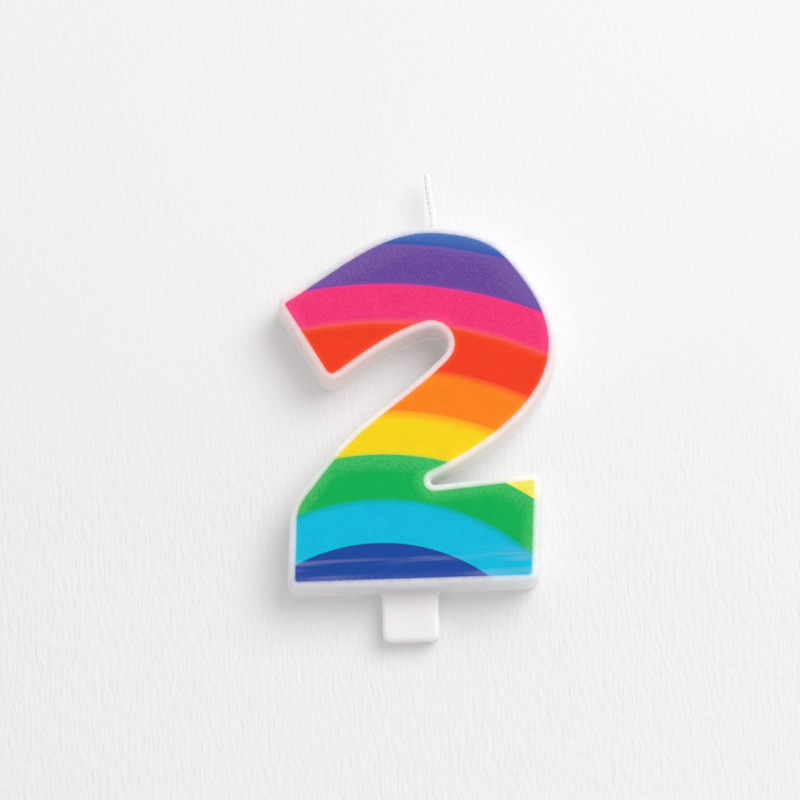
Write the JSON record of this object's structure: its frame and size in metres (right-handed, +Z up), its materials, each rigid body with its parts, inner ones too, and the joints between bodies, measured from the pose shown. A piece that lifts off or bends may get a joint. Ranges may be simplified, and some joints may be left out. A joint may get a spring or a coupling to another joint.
{
  "type": "number birthday candle",
  "caption": "Cast white wax numeral two with a bevelled front edge, a rainbow transfer print on its flat face, a cotton wick at the crown and a flat stub below for the cake.",
  "frame": {"origin": "middle of the foot's underside, which rests on the icing, half way through the thickness", "axes": "+Z up along the numeral, +X to the reader's right, -Y out of the printed front face"},
  "size_m": [0.0535, 0.0102, 0.0908],
  "materials": {
    "wax": "soft satin white candle wax",
    "wick": "braided cotton primed with wax",
    "ink_royal_blue": "glossy transfer-printed ink",
    "ink_cyan": "glossy transfer-printed ink",
    "ink_green": "glossy transfer-printed ink",
    "ink_yellow": "glossy transfer-printed ink",
    "ink_orange": "glossy transfer-printed ink",
    "ink_red": "glossy transfer-printed ink",
    "ink_pink": "glossy transfer-printed ink",
    "ink_purple": "glossy transfer-printed ink",
    "ink_top_blue": "glossy transfer-printed ink"
  },
  "bodies": {
    "root": {"wax_body": "wax", "wick": "wick", "ink_royal_blue": "ink_royal_blue", "ink_cyan": "ink_cyan", "ink_green": "ink_green", "ink_yellow": "ink_yellow", "ink_yellow_corner": "ink_yellow", "ink_orange": "ink_orange", "ink_red_bowl": "ink_red", "ink_red_terminal": "ink_red", "ink_pink": "ink_pink", "ink_purple": "ink_purple", "ink_top_blue": "ink_top_blue"}
  },
  "joints": []
}
